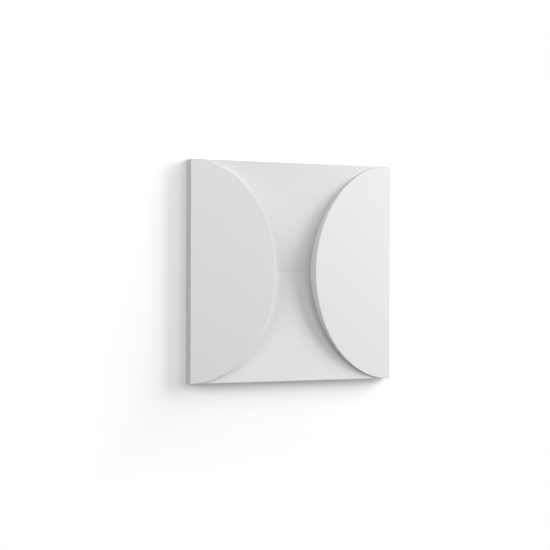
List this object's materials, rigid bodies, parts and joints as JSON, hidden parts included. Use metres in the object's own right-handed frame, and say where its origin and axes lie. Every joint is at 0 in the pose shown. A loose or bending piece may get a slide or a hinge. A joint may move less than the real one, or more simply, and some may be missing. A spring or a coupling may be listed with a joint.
{
  "type": "3d wall panel tile",
  "caption": "Square moulded wall panel tile whose two half-oval flaps rise from opposite sides towards a creased valley, with flush edges for tiling.",
  "frame": {"origin": "centre of the flat back, on the surface that the tile lies on", "axes": "+Z out of the front face; X runs from the left flap to the right flap; +Y is up in the picture, along the valley"},
  "size_m": [0.333, 0.333, 0.029],
  "materials": {
    "moulded_tile": "matt white primer on fine, dense moulded foam"
  },
  "bodies": {
    "root": {"wall_panel_tile": "moulded_tile"}
  },
  "joints": []
}
